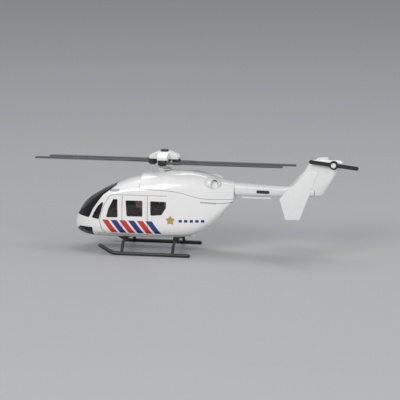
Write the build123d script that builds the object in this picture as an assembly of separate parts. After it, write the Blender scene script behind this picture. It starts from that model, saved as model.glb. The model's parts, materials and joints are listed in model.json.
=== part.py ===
from build123d import *
import math
import os

# Toy model of a twin-engined light helicopter: hollow cast body, clear mouldings, skids,
# a tail boom with fin and end plates, a four-blade main rotor whose blades swing on pins,
# and a two-blade tail rotor. Lengths are in millimetres.
# Stations along X are measured from the rotor mast, nose towards -X, port side towards -Y,
# and Z is measured up from the underside of the skids.

# ---------------------------------------------------------------- driving dimensions
ROW_SHIFT_X = -18.215       # moves the mast so that the origin lies under mid-length

WALL = 1.2                  # cast body wall
GLASS_OUT, GLASS_IN = 0.5, 1.8   # clear moulding: recess of its panes, depth of its back
GROOVE_DEEP, GROOVE_WIDE = 0.32, 0.38
SEAM_GAP = 0.2              # open line between two mouldings
PANE_GAP = 0.06             # clearance round a pane
POST_HALF, POST_PROUD = 0.65, 0.3   # bar between the two windshield panes

# Fuselage stations: x, half width, belly z, height of greatest width,
# half width and height of the door rail, roof z, cowling top z
STATIONS = [
    (-53.0, 0.8, 15.5, 16.3, 0.7, 16.7, 17.1, 17.1),
    (-52.6, 3.1, 13.3, 16.4, 2.5, 17.3, 18.5, 18.5),
    (-51.6, 5.5, 11.5, 16.5, 4.4, 18.3, 20.5, 20.5),
    (-50.0, 7.6, 10.2, 16.8, 6.1, 20.2, 23.5, 23.5),
    (-47.0, 9.9, 9.0, 17.2, 8.2, 23.4, 27.9, 27.9),
    (-43.4, 11.6, 8.3, 17.6, 9.8, 26.3, 31.2, 31.2),
    (-38.6, 12.9, 8.0, 18.0, 11.2, 29.4, 34.3, 34.3),
    (-32.6, 13.7, 8.0, 18.4, 12.2, 32.2, 37.5, 37.5),
    (-26.5, 14.0, 8.0, 18.8, 12.7, 33.8, 40.2, 40.4),
    (-20.0, 14.0, 8.0, 19.0, 12.9, 34.5, 42.7, 43.6),
    (-12.5, 14.0, 8.0, 19.0, 12.9, 34.6, 44.2, 45.9),
    (0.0, 14.0, 8.2, 19.0, 12.9, 34.5, 45.0, 47.5),
    (8.0, 13.8, 8.6, 19.2, 12.6, 34.4, 45.0, 48.0),
    (16.0, 13.0, 9.9, 20.0, 11.9, 34.2, 44.6, 48.0),
    (24.0, 11.6, 13.3, 22.2, 10.7, 33.9, 43.6, 47.0),
    (31.0, 9.8, 18.7, 25.7, 9.1, 33.7, 42.2, 44.7),
    (37.0, 7.8, 25.2, 29.4, 7.1, 33.8, 41.4, 42.9),
    (41.6, 5.6, 30.8, 33.2, 5.3, 34.8, 40.8, 41.9),
]
BELLY_POWER, ROOF_POWER = 2.8, 2.15
ROUNDING = 0.45             # radius of a rounded edge, as a share of its bar's thickness
MIN_HALF = 0.7              # a section narrower than this is left out of an inset shell
NOSE_TAPER = (-30.0, -53.0)      # an inset section also moves aft, fully so at the second x
TAIL_TAPER = (20.0, 42.0)        # the same towards the nose, over the tail
WIDE, HIGH = 30.0, 60.0          # half width and height that clear the whole model

# Outlines in side view (x, z)
SCREEN = [(-58, 21.6), (-43.1, 20.2), (-42.3, 21.2), (-40.4, 25.3), (-36.9, 30.4),
          (-34.0, 34.0), (-27.3, 38.9), (-25.0, 48.0), (-58, 48.0)]
QUARTER = [(-39.7, 23.4), (-37.4, 27.3), (-34.9, 29.6), (-33.9, 29.3), (-36.2, 21.4),
           (-36.7, 19.5), (-41.0, 20.3)]
CHIN = [(-50.6, 13.0), (-48.8, 14.5), (-40.7, 14.6), (-40.7, 11.6), (-39.6, 7.0),
        (-52.0, 7.0)]
CHIN_GAP, CHIN_CORNER = 2.2, 0.5   # half width of the solid strip between the chin panes
ROOF_PANE = [(-31.0, 35.9), (-30.0, 36.9), (-25.0, 37.7), (-24.2, 37.0), (-25.0, 36.2)]
DOOR_PANES = [
    [(-28.0, 31.7), (-25.4, 31.9), (-25.2, 21.2), (-32.3, 20.9), (-30.8, 26.2)],
    [(-20.6, 31.3), (-10.5, 31.4), (-10.5, 22.1), (-19.9, 22.0)],
    [(-6.1, 31.3), (3.5, 31.2), (3.3, 27.5), (0.7, 23.4), (-5.7, 22.8)],
]
PANE_CORNER = 0.7
GLASS_STRIP = [(-33.6, 33.0), (6.0, 33.0), (6.0, 19.0), (-33.6, 19.0)]   # behind the door panes
STRIP_INNER_Y = 2.0
SMALL_CORNER = 0.3          # corner of the quarter and roof panes

# Line of the cowling seam and the moulded panel lines, in side view
COWL_FRONT_X, COWL_FRONT_Z = -12.5, 38.2
COWL_SEAM = [(COWL_FRONT_X, COWL_FRONT_Z), (-5.3, 37.7), (4.0, 37.4), (12.0, 36.3),
             (20.4, 33.9), (26.1, 33.0), (34.0, 32.6), (46.0, 32.5)]
PAN_TOP, PAN_FRONT, PAN_REAR = 11.2, -37.5, 21.5
PANEL_LINES = [
    [(-30.2, 33.6), (-33.2, 28.8), (-35.2, 23.6), (-36.2, 19.0), (-35.0, 14.0), (-32.8, 11.0)],
    [(-22.6, 34.4), (-22.6, 11.0)],
    [(-7.6, 34.4), (-7.6, 11.0)],
    [(-30.2, 33.6), (-27.6, 34.4), (3.5, 34.5)],
    [(32.6, 30.5), (41.0, 30.8)],
]
SLOT_FROM, SLOT_TO, SLOT_WIDE, SLOT_DEEP = (23.6, 31.2), (31.6, 30.5), 0.8, 0.7

# Tail
BOOM_STATIONS = [(41.6, 3.6, 34.1, 41.7), (52.0, 3.4, 34.0, 41.1), (65.0, 3.1, 34.1, 40.5),
                 (80.0, 2.6, 34.6, 39.8), (88.0, 2.1, 35.0, 39.3)]   # x, half width, z low, z high
BOOM_POWER = 2.6
SPIGOT_R, SPIGOT_LEN = 2.3, 5.0
KEEL = (44.2, 64.7, 1.1, 32.6, 34.1)      # x from, x to, half width, z from, z to
KEEL_RAMP = 2.2             # length of each sloping end
KEEL_BURIED, KEEL_TOP = 1.0, 34.6
FIN = [(75.2, 39.0), (79.6, 45.2), (85.6, 55.4), (87.4, 56.4), (102.3, 56.6), (104.6, 55.6),
       (103.8, 53.8), (100.5, 48.4), (94.0, 37.2), (92.4, 35.0), (86.0, 34.6), (80.0, 36.6)]
FIN_HALF, FIN_CHAMFER = 1.5, 1.0
END_PLATE = [(71.2, 37.2), (86.4, 53.0), (87.6, 53.6), (92.4, 53.9), (93.2, 53.1), (88.6, 41.0),
             (82.8, 25.7), (74.6, 25.4)]
END_PLATE_Y, END_PLATE_THICK, END_PLATE_CORNER = 23.2, 1.3, 0.6
STAB_X, STAB_CHORD, STAB_Z, STAB_THICK = 77.6, 11.0, 38.0, 1.5

# Skids
SKID_Y, SKID_R, SKID_Z = 18.8, 1.1, 0.95
SKID_REAR, SKID_BEND, SKID_TOE, SKID_BEND_R = 17.5, -27.0, (-34.5, 5.2), 12.0
BOW_STATIONS = {"front": -22.0, "rear": 8.0}
BOW_R, BOW_Z, BOW_FLAT_Y, BOW_BEND_R = 0.9, 7.05, 13.6, 6.0
CLAMP_Y, CLAMP_SIZE, CLAMP_LOW, CLAMP_CORNER = 6.5, (3.4, 2.6, 3.0), 6.05, 0.5
SCREWS = {-31.5: 7.6, 16.0: 8.7}       # x of each belly screw: underside of its head
SCREW_HEAD_R, SCREW_HEAD_H, SCREW_SHANK_R, SCREW_TIP_Z, SCREW_PLAY = 1.8, 0.9, 0.75, 12.0, 0.08
SCREW_SLOT = (0.5, 0.35)               # width and depth of the cross slot
BOSS_R, BOSS_PROUD = 2.5, 0.4          # screw boss of the belly pan, and how far the head stands out

# Main rotor
MAST_R, MAST_BOTTOM, MAST_TOP = 2.1, 38.4, 57.2
BUSH_R, BUSH_BOTTOM, BUSH_TOP, BUSH_PLAY, BUSH_RIM = 3.0, 40.0, 48.9, 0.05, 0.9
CLIP_R, CLIP_LOW, CLIP_HIGH, CLIP_MOUTH = 3.3, 38.9, 39.7, 1.6
HUB_LOW, HUB_HIGH, HUB_R, ARM_REACH, ARM_WIDE, ARM_TIP = 54.5, 58.8, 4.6, 8.8, 6.2, 2.6
ARM_CORNER, HUB_EDGE = 1.2, 0.8
ARM_NOSE, ARM_SHOULDER, HUB_CROWN = (1.6, 0.9), 0.6, 0.3   # slopes of an arm's side view
CAP_R, CAP_H, CAP_EDGE = 2.4, 0.9, 0.4
PIVOT_R = 7.0               # blade pin circle about the mast
PIN_R, PIN_HEAD_R, PIN_HEAD_H, PIN_LOW, PIN_HIGH, PIN_PLAY = 1.0, 1.7, 0.5, 50.9, 56.0, 0.06
PIN_HEAD_RIM = 0.3          # part of the head above PIN_LOW
EAR_R, EAR_LOW, EAR_HIGH = 2.6, 51.5, 54.3
BLADE_REACH, BLADE_CHORD, BLADE_THICK, NECK_LEN, NECK_WIDE, NECK_THICK = 70.5, 5.4, 1.0, 10.0, 3.4, 1.8
BLADE_Z, BLADE_TIP_R, BLADE_EDGE, NECK_LAP = 52.7, 2.0, 0.35, 2.0
# Rest direction of each blade about the mast: pin angle and blade heading, in degrees
BLADES = {"fore": (180, 180), "aft": (0, 0), "port": (270, 0), "starboard": (90, 180)}

# Tail rotor
TAIL_HUB_X, TAIL_HUB_Z, TAIL_REACH, TAIL_TILT = 99.6, 54.3, 14.4, 6.5
TAIL_RING_R, TAIL_IN_Y, TAIL_OUT_Y = 2.6, -3.3, -4.6
TAIL_BLADE_WIDE, TAIL_BLADE_THICK, TAIL_BLADE_END = 2.3, 0.7, 1.0
AXLE_R, AXLE_PLAY, AXLE_HEAD_R, AXLE_HEAD_H, AXLE_GAP, AXLE_BOSS_R = 0.8, 0.06, 1.4, 0.8, 0.15, 1.9
BOSS_GAP = 0.3              # between the fin's boss and the tail rotor's ring

# Cabin
FLOOR_TOP, FLOOR_THICK, FLOOR_FRONT, FLOOR_REAR, FLOOR_HALF = 12.4, 1.0, -42.0, 12.0, 11.4
SEAT_X, SEAT_Y, SEAT_WIDE, SEAT_DEEP, SEAT_H, SEAT_BACK = -28.5, 5.6, 7.6, 7.4, 4.6, 14.0
BENCH_X, BENCH_WIDE = -7.5, 20.0
SEAT_SLOPE, SEAT_BACK_THICK, SEAT_RAKE, SEAT_HEEL = 0.8, 2.2, 1.6, 0.4
SEAT_CORNER, HEAD_REST, HEAD_REST_SINK = 0.7, (1.8, 3.6, 2.2), 0.2
TUNNEL_X, TUNNEL = -27.5, (15.0, 2.6, 2.4)    # middle, and length, width and height
PANEL_X, PANEL_WIDE = -41.4, 12.0
PANEL_SIDE = [(-2.4, 0.0), (-1.2, 8.4), (1.6, 8.0), (2.2, 4.6), (4.8, 2.6), (4.8, 0.0)]   # side view
DECK_X, DECK_LEN, DECK_Z, DECK_THICK = 14.0, 52.0, 35.2, 1.0

# Exhaust fairings on the rear of the cowling
EXHAUST_AT, EXHAUST_AXES = (28.8, 5.4, 41.4), (5.6, 4.2, 3.8)
EXHAUST_MOUTH, EXHAUST_BORE, EXHAUST_DEPTH, EXHAUST_TURN = (31.0, 8.0, 41.7), 2.5, 6.0, 52


# ---------------------------------------------------------------- helpers
def side_prism(outline, corner=0.0, grow=0.0, y_from=-WIDE, y_to=WIDE):
    """Slab whose side view is the outline, from y_from to y_to."""
    face = make_face(Polyline(*[(x, 0, z) for x, z in outline], close=True)).face()
    if corner:
        face = face.fillet_2d(corner, face.vertices())
    if grow:
        face = offset(face, grow, kind=Kind.INTERSECTION).face()
    slab = extrude(face, amount=y_to - y_from, dir=(0, 1, 0))
    return Pos(0, y_from, 0) * slab


def section_wire(x, half, belly, wide, rail_half, rail, top):
    """One fuselage cross-section as a closed smooth curve, starting at the belly."""
    side = []
    for step in range(7):
        a = math.radians(15 * step)
        side.append((half * math.sin(a) ** (2 / BELLY_POWER),
                     wide - (wide - belly) * math.cos(a) ** (2 / BELLY_POWER)))
    for u in (0.4, 0.75):
        side.append((half - (half - rail_half) * u * u, wide + (rail - wide) * u))
    for step in range(7):
        a = math.radians(15 * step)
        side.append((rail_half * max(math.cos(a), 0) ** (2 / ROOF_POWER),
                     rail + (top - rail) * math.sin(a) ** (2 / ROOF_POWER)))
    other = [(-y, z) for y, z in reversed(side[1:-1])]
    return Wire(Spline(*[(x, y, z) for y, z in side + other], periodic=True))


def fuselage(inset, top_column):
    """Solid fuselage, shrunk by inset all round. Column 6 is the roof, 7 the cowling."""
    wires = []
    for row in STATIONS:
        x, half, belly, wide, rail_half, rail = row[:6]
        if half - inset < MIN_HALF:
            continue
        nose, tail = (min(max((x - start) / (full - start), 0), 1)
                      for start, full in (NOSE_TAPER, TAIL_TAPER))
        wires.append(section_wire(x + inset * (nose - tail), half - inset, belly + inset, wide,
                                  rail_half - inset, rail, row[top_column] - inset))
    return Solid.make_loft(wires)


ROOF, COWL = 6, 7
OUTER = fuselage(0, ROOF)
INNER = fuselage(WALL, ROOF)
SKIN = OUTER - INNER
COWL_OUTER = fuselage(0, COWL)
COWL_SKIN = COWL_OUTER - fuselage(WALL, COWL)


def cowl_region(lift):
    """Everything behind the cowling's front edge and above its seam."""
    points = [(max(x, COWL_FRONT_X + lift), 0, z + lift) for x, z in COWL_SEAM]
    start, end = points[0], points[-1]
    frame = Polyline(end, (end[0], 0, HIGH), (start[0], 0, HIGH), start)
    face = make_face(Wire([*Spline(*points).edges(), *frame.edges()]))
    return Pos(0, -WIDE, 0) * extrude(face, amount=2 * WIDE, dir=(0, 1, 0))


def pan_region(lift):
    """The box that the belly pan fills."""
    length = PAN_REAR - PAN_FRONT - 2 * lift
    return Pos((PAN_FRONT + PAN_REAR) / 2, 0, (PAN_TOP - lift) / 2) * Box(length, 2 * WIDE, PAN_TOP - lift)


def side_bar(start, end, wide):
    """Square-ended bar across the model along a line of the side view."""
    (x0, z0), (x1, z1) = start, end
    turn = -math.degrees(math.atan2(z1 - z0, x1 - x0))
    return Pos((x0 + x1) / 2, 0, (z0 + z1) / 2) * Rot(0, turn, 0) * Box(
        math.hypot(x1 - x0, z1 - z0) + wide, 2 * WIDE, wide)


def panel_grooves():
    """Thin skin under every moulded panel line, and the deeper slot behind the doors."""
    bars = Part() + [side_bar(start, end, GROOVE_WIDE)
                     for line in PANEL_LINES for start, end in zip(line, line[1:])]
    slot = side_bar(SLOT_FROM, SLOT_TO, SLOT_WIDE)
    slot = fillet(slot.edges().filter_by(Axis.Y), SLOT_WIDE * ROUNDING)
    return ((OUTER - fuselage(GROOVE_DEEP, ROOF)) & bars) + ((OUTER - fuselage(SLOT_DEEP, ROOF)) & slot)


def largest(shape):
    """The largest solid of a boolean result."""
    return max(shape.solids(), key=lambda s: s.volume)


def rod(x, y, z_low, z_high, radius):
    """Upright round bar."""
    return Pos(x, y, (z_low + z_high) / 2) * Cylinder(radius, z_high - z_low)


def cross_rod(x, z, y_from, y_to, radius):
    """Round bar lying across the model."""
    return Pos(x, (y_from + y_to) / 2, z) * Rot(90, 0, 0) * Cylinder(radius, abs(y_to - y_from))


# ---------------------------------------------------------------- body shells
def make_body_shell():
    body = SKIN - cowl_region(0) - pan_region(0)
    for outline, corner in [(SCREEN, 0), (QUARTER, SMALL_CORNER), (ROOF_PANE, SMALL_CORNER)]:
        body -= side_prism(outline, corner)
    for side in (-1, 1):
        low, high = sorted((side * CHIN_GAP, side * WIDE))
        body -= side_prism(CHIN, CHIN_CORNER, y_from=low, y_to=high)
    for outline in DOOR_PANES:
        body -= side_prism(outline, PANE_CORNER)
    for x in SCREWS:
        body -= rod(x, 0, 0, FLOOR_TOP, BOSS_R + PANE_GAP)
    return largest(body - panel_grooves())


def make_belly_pan():
    pan = SKIN & pan_region(SEAM_GAP)
    for x, head_z in SCREWS.items():
        pan += rod(x, 0, head_z + BOSS_PROUD, FLOOR_TOP - FLOOR_THICK, BOSS_R)
        pan -= screw_at(x, SCREW_PLAY)
    return largest(pan)


def make_engine_cowling():
    cowl = COWL_SKIN & cowl_region(SEAM_GAP)
    cowl -= rod(0, 0, MAST_BOTTOM, HIGH, BUSH_R)
    cowl -= Pos(BOOM_STATIONS[0][0], 0, boom_middle()) * Rot(0, 90, 0) * Cylinder(SPIGOT_R, 2 * SPIGOT_LEN)
    return largest(cowl)


# ---------------------------------------------------------------- clear mouldings, port side
def flush_pane(outline, corner, inner_y=0.0):
    """Pane level with the skin, filling one opening."""
    return largest(SKIN & side_prism(outline, corner, grow=-PANE_GAP, y_to=-inner_y))


def make_centre_post():
    post = side_prism(SCREEN, grow=-PANE_GAP, y_from=-POST_HALF, y_to=POST_HALF)
    return largest((fuselage(-POST_PROUD, ROOF) - INNER) & post)


def make_side_glazing():
    """One clear strip behind the wall, with a raised pane in each of three openings."""
    back = fuselage(GLASS_IN, ROOF)
    strip = (fuselage(WALL + PANE_GAP, ROOF) - back) & side_prism(GLASS_STRIP, y_to=-STRIP_INNER_Y)
    panes = fuselage(GLASS_OUT, ROOF) - back
    for outline in DOOR_PANES:
        strip += panes & side_prism(outline, PANE_CORNER, grow=-PANE_GAP, y_to=-STRIP_INNER_Y)
    return largest(strip)


# ---------------------------------------------------------------- cabin
CABIN_SPACE = fuselage(GLASS_IN + PANE_GAP, ROOF)


def make_cabin_floor():
    """Tray with a tunnel between the seats and a bulkhead behind the bench."""
    floor = Pos((FLOOR_FRONT + FLOOR_REAR) / 2, 0, FLOOR_TOP - FLOOR_THICK / 2) * Box(
        FLOOR_REAR - FLOOR_FRONT, 2 * FLOOR_HALF, FLOOR_THICK)
    wall_high = DECK_Z - DECK_THICK - FLOOR_TOP
    rear_wall = Pos(FLOOR_REAR - FLOOR_THICK / 2, 0, FLOOR_TOP + wall_high / 2) * Box(
        FLOOR_THICK, 2 * FLOOR_HALF, wall_high)
    length, wide, high = TUNNEL
    tunnel = Pos(TUNNEL_X, 0, FLOOR_TOP + high / 2) * Box(length, wide, high)
    tray = (floor + rear_wall + tunnel) & CABIN_SPACE
    for x in SCREWS:
        tray -= screw_at(x, SCREW_PLAY)
    return largest(tray)


def seat_shape(wide, deep, back_high):
    """Seat with squab and raked back in one moulding, front edge towards -X."""
    back = deep / 2 + SEAT_RAKE
    side = make_face(Polyline((-deep / 2, 0, 0), (-deep / 2, 0, SEAT_H),
                              (deep / 2 - SEAT_BACK_THICK, 0, SEAT_H - SEAT_SLOPE),
                              (back - SEAT_BACK_THICK, 0, back_high), (back, 0, back_high),
                              (deep / 2 + SEAT_HEEL, 0, 0), close=True)).face()
    side = side.fillet_2d(SEAT_CORNER, side.vertices())
    body = Pos(0, -wide / 2, 0) * extrude(side, amount=wide, dir=(0, 1, 0))
    return Pos(0, 0, FLOOR_TOP) * body


def make_pilot_seat():
    head_rest = Pos(SEAT_DEEP / 2 + SEAT_RAKE - SEAT_BACK_THICK / 2, 0,
                    FLOOR_TOP + SEAT_BACK + HEAD_REST[2] / 2 - HEAD_REST_SINK) * Box(*HEAD_REST)
    return Pos(SEAT_X, -SEAT_Y, 0) * (seat_shape(SEAT_WIDE, SEAT_DEEP, SEAT_BACK) + head_rest)


def make_rear_bench():
    return Pos(BENCH_X, 0, 0) * seat_shape(BENCH_WIDE, SEAT_DEEP, SEAT_BACK)


def make_instrument_panel():
    outline = [(PANEL_X + x, FLOOR_TOP + z) for x, z in PANEL_SIDE]
    body = side_prism(outline, SMALL_CORNER, y_from=-PANEL_WIDE / 2, y_to=PANEL_WIDE / 2)
    return largest(body & CABIN_SPACE)


def make_engine_deck():
    deck = Pos(DECK_X, 0, DECK_Z - DECK_THICK / 2) * Box(DECK_LEN, 2 * WIDE, DECK_THICK)
    return largest(deck & CABIN_SPACE)


# ---------------------------------------------------------------- tail
def boom_wire(x, half, low, high):
    middle, rise = (low + high) / 2, (high - low) / 2
    points = []
    for step in range(20):
        a = math.radians(18 * step)
        c, s = math.cos(a), math.sin(a)
        points.append((x, half * math.copysign(abs(c) ** (2 / BOOM_POWER), c),
                       middle + rise * math.copysign(abs(s) ** (2 / BOOM_POWER), s)))
    return Wire(Spline(*points, periodic=True))


def boom_middle():
    return (BOOM_STATIONS[0][2] + BOOM_STATIONS[0][3]) / 2


BOOM = Solid.make_loft([boom_wire(*row) for row in BOOM_STATIONS])


def make_tail_boom():
    spigot = Pos(BOOM_STATIONS[0][0] - SPIGOT_LEN / 2, 0, boom_middle()) * Rot(0, 90, 0) * Cylinder(
        SPIGOT_R - PANE_GAP, SPIGOT_LEN)
    return largest(BOOM + spigot - make_stabiliser() - keel_block())


def keel_block():
    """Keel strip with sloping ends, carried up into the boom."""
    x_from, x_to, half, low, high = KEEL
    high += KEEL_BURIED
    return side_prism([(x_from, high), (x_from + KEEL_RAMP, low), (x_to - KEEL_RAMP, low),
                       (x_to, high)], y_from=-half, y_to=half)


def make_boom_keel():
    x_from, x_to, half, low, high = KEEL
    above = Pos((x_from + x_to) / 2, 0, (KEEL_TOP + HIGH) / 2) * Box(
        2 * (x_to - x_from), 4 * half, HIGH - KEEL_TOP)
    return largest(keel_block() - above)


def make_tail_fin():
    fin = side_prism(FIN, y_from=-FIN_HALF, y_to=FIN_HALF)
    fin = chamfer(fin.faces().filter_by(Axis.Y).edges(), FIN_CHAMFER)
    boss = cross_rod(TAIL_HUB_X, TAIL_HUB_Z, 0, TAIL_IN_Y + BOSS_GAP, AXLE_BOSS_R)
    fin = fin + boss - BOOM - cross_rod(TAIL_HUB_X, TAIL_HUB_Z, -WIDE, WIDE, AXLE_R)
    return largest(fin)


def make_stabiliser():
    reach = END_PLATE_Y - END_PLATE_THICK / 2
    wing = Pos(STAB_X, 0, STAB_Z) * Box(STAB_CHORD, 2 * reach, STAB_THICK)
    return fillet(wing.edges().filter_by(Axis.Y), STAB_THICK * ROUNDING)


def make_end_plate():
    return side_prism(END_PLATE, END_PLATE_CORNER, y_from=-END_PLATE_Y - END_PLATE_THICK / 2,
                      y_to=-END_PLATE_Y + END_PLATE_THICK / 2)


# ---------------------------------------------------------------- skids
def make_skid_tube():
    """Tube turned up at the toe, with round ends."""
    path = FilletPolyline((SKID_REAR, -SKID_Y, SKID_Z), (SKID_BEND, -SKID_Y, SKID_Z),
                          (SKID_TOE[0], -SKID_Y, SKID_TOE[1]), radius=SKID_BEND_R)
    tube = sweep(Plane(path @ 0, z_dir=path % 0) * Circle(SKID_R), path=path)
    for end in (path @ 0, path @ 1):
        tube += Pos(*end) * Sphere(SKID_R)
    below = Pos((SKID_REAR + SKID_TOE[0]) / 2, -SKID_Y, -SKID_R) * Box(
        SKID_REAR - SKID_TOE[0] + 4 * SKID_R, 4 * SKID_R, 2 * SKID_R)
    return largest(tube - below)


def make_cross_bow(x):
    """Cross tube under the belly whose ends curve down on to the skids."""
    path = FilletPolyline((x, -SKID_Y, SKID_Z), (x, -BOW_FLAT_Y, BOW_Z), (x, BOW_FLAT_Y, BOW_Z),
                          (x, SKID_Y, SKID_Z), radius=BOW_BEND_R)
    tube = sweep(Plane(path @ 0, z_dir=path % 0) * Circle(BOW_R), path=path)
    for side in (-1, 1):
        tube -= Pos(x, side * SKID_Y, SKID_Z) * Rot(0, 90, 0) * Cylinder(SKID_R, 8 * BOW_R)
    return largest(tube - OUTER)


def make_bow_clamps():
    """Four saddle blocks that hold the cross tubes to the belly."""
    blocks = []
    for x in BOW_STATIONS.values():
        block = Pos(x, -CLAMP_Y, CLAMP_LOW + CLAMP_SIZE[2] / 2) * Box(*CLAMP_SIZE)
        block = fillet(block.edges().filter_by(Axis.Z), CLAMP_CORNER)
        block = largest(block - cross_rod(x, BOW_Z, -2 * CLAMP_Y, 0, BOW_R) - OUTER)
        blocks += [block, mirror(block, about=Plane.XZ)]
    return Compound(children=blocks)


def screw_at(x, play=0.0):
    """Pan-head screw from its head upwards, fattened by play when it cuts its own hole."""
    low = SCREWS[x]
    head = rod(x, 0, low - play, low + SCREW_HEAD_H + play, SCREW_HEAD_R + play)
    return head + rod(x, 0, low, SCREW_TIP_Z + play, SCREW_SHANK_R + play)


def make_belly_screws():
    wide, deep = SCREW_SLOT
    screws = []
    for x, low in SCREWS.items():
        long = 2.2 * SCREW_HEAD_R
        cross = Box(long, wide, 2 * deep) + Box(wide, long, 2 * deep)
        screws.append(largest(screw_at(x) - Pos(x, 0, low) * cross))
    return Compound(children=screws)


# ---------------------------------------------------------------- exhausts
def make_exhaust():
    """Blister on the cowling with a round mouth that faces out and aft."""
    x, y, z = EXHAUST_AT
    blister = Pos(x, -y, z) * scale(Sphere(1), by=EXHAUST_AXES)
    x, y, z = EXHAUST_MOUTH
    bore = Pos(x, -y, z) * Rot(0, 0, -EXHAUST_TURN) * Rot(0, 90, 0) * Cylinder(EXHAUST_BORE, EXHAUST_DEPTH)
    return largest(blister - bore - COWL_OUTER)


# ---------------------------------------------------------------- main rotor
def make_mast_bush():
    collar = rod(0, 0, BUSH_TOP - BUSH_RIM, BUSH_TOP, BUSH_R + BUSH_RIM) - COWL_OUTER
    sleeve = rod(0, 0, BUSH_BOTTOM, BUSH_TOP, BUSH_R)
    return largest(sleeve + collar - rod(0, 0, 0, HIGH, MAST_R + BUSH_PLAY))


def make_rotor_mast():
    return rod(0, 0, MAST_BOTTOM, MAST_TOP, MAST_R)


def make_mast_clip():
    ring = rod(0, 0, CLIP_LOW, CLIP_HIGH, CLIP_R) - rod(0, 0, 0, HIGH, MAST_R)
    mouth = Box(2 * CLIP_R - MAST_R, CLIP_MOUTH, 4 * (CLIP_HIGH - CLIP_LOW))
    return largest(ring - Pos(CLIP_R, 0, CLIP_LOW) * mouth)


def pin_place(angle):
    """Foot of the blade pin at an angle about the mast."""
    return Pos(PIVOT_R * math.cos(math.radians(angle)), PIVOT_R * math.sin(math.radians(angle)), 0)


def make_rotor_hub():
    """Four broad drooping arms on a domed boss, bored for the mast and the blade pins."""
    tip_z, crown_z = HUB_LOW + ARM_TIP, HUB_HIGH - HUB_CROWN
    nose_long, nose_drop = ARM_NOSE
    side = make_face(Polyline((0, 0, HUB_LOW), (ARM_REACH, 0, HUB_LOW), (ARM_REACH, 0, tip_z - nose_drop),
                              (ARM_REACH - nose_long, 0, tip_z), (HUB_R - ARM_SHOULDER, 0, crown_z),
                              (0, 0, crown_z), close=True)).face()
    arm = Pos(0, -ARM_WIDE / 2, 0) * extrude(side, amount=ARM_WIDE, dir=(0, 1, 0))
    arm = fillet(arm.edges().filter_by(Axis.Z), ARM_CORNER)
    hub = rod(0, 0, HUB_LOW, HUB_HIGH, HUB_R)
    hub = fillet(hub.edges().group_by(Axis.Z)[-1], HUB_EDGE)
    for angle, _ in BLADES.values():
        hub += Rot(0, 0, angle) * arm
        hub -= pin_place(angle) * rod(0, 0, 0, PIN_HIGH, PIN_R)
    return largest(hub - make_rotor_mast())


def make_hub_cap():
    cap = rod(0, 0, HUB_HIGH, HUB_HIGH + CAP_H, CAP_R)
    return fillet(cap.edges().group_by(Axis.Z)[-1], CAP_EDGE)


def make_blade_pins():
    head = rod(0, 0, PIN_LOW - PIN_HEAD_H, PIN_LOW + PIN_HEAD_RIM, PIN_HEAD_R)
    pin = rod(0, 0, PIN_LOW, PIN_HIGH, PIN_R) + head
    return Compound(children=[largest(pin_place(angle) * pin) for angle, _ in BLADES.values()])


def make_blade(pin_angle, heading):
    """Blade along +X from its pin at the origin, then turned to its heading."""
    ear = rod(0, 0, EAR_LOW, EAR_HIGH, EAR_R)
    neck = Pos(NECK_LEN / 2, 0, BLADE_Z) * Box(NECK_LEN, NECK_WIDE, NECK_THICK)
    panel_len = BLADE_REACH - NECK_LEN + NECK_LAP
    panel = Pos(BLADE_REACH - panel_len / 2, 0, BLADE_Z) * Box(panel_len, BLADE_CHORD, BLADE_THICK)
    panel = fillet(panel.edges().filter_by(Axis.Z), BLADE_TIP_R)
    panel = fillet(panel.edges().filter_by(Axis.X), BLADE_EDGE)
    blade = ear + neck + panel - rod(0, 0, 0, HIGH, PIN_R + PIN_PLAY)
    return pin_place(pin_angle) * Rot(0, 0, heading) * largest(blade)


# ---------------------------------------------------------------- tail rotor
def make_tail_rotor():
    ring = cross_rod(0, 0, TAIL_IN_Y, TAIL_OUT_Y, TAIL_RING_R)
    middle = (TAIL_IN_Y + TAIL_OUT_Y) / 2
    bar = Pos(0, middle, 0) * Box(2 * TAIL_REACH, TAIL_BLADE_THICK, TAIL_BLADE_WIDE)
    bar = fillet(bar.edges().filter_by(Axis.Y), TAIL_BLADE_END)
    rotor = ring + bar - cross_rod(0, 0, -WIDE, WIDE, AXLE_R + AXLE_PLAY)
    return Pos(TAIL_HUB_X, 0, TAIL_HUB_Z) * Rot(0, TAIL_TILT, 0) * largest(rotor)


def make_tail_axle():
    head_y = TAIL_OUT_Y - AXLE_GAP
    shank = cross_rod(TAIL_HUB_X, TAIL_HUB_Z, FIN_HALF, head_y, AXLE_R)
    return largest(shank + cross_rod(TAIL_HUB_X, TAIL_HUB_Z, head_y, head_y - AXLE_HEAD_H, AXLE_HEAD_R))


# ---------------------------------------------------------------- writing the pieces
def write(name, shape):
    """Moves a finished piece into the row frame and writes it."""
    placed = Pos(ROW_SHIFT_X, 0, 0) * shape
    placed.label = name
    export_step(placed, f"parts/{name}.step")


def write_pair(name, port_piece):
    """Writes the port piece and its mirror image for starboard."""
    write(f"{name}_port", port_piece)
    write(f"{name}_starboard", mirror(port_piece, about=Plane.XZ))


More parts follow.
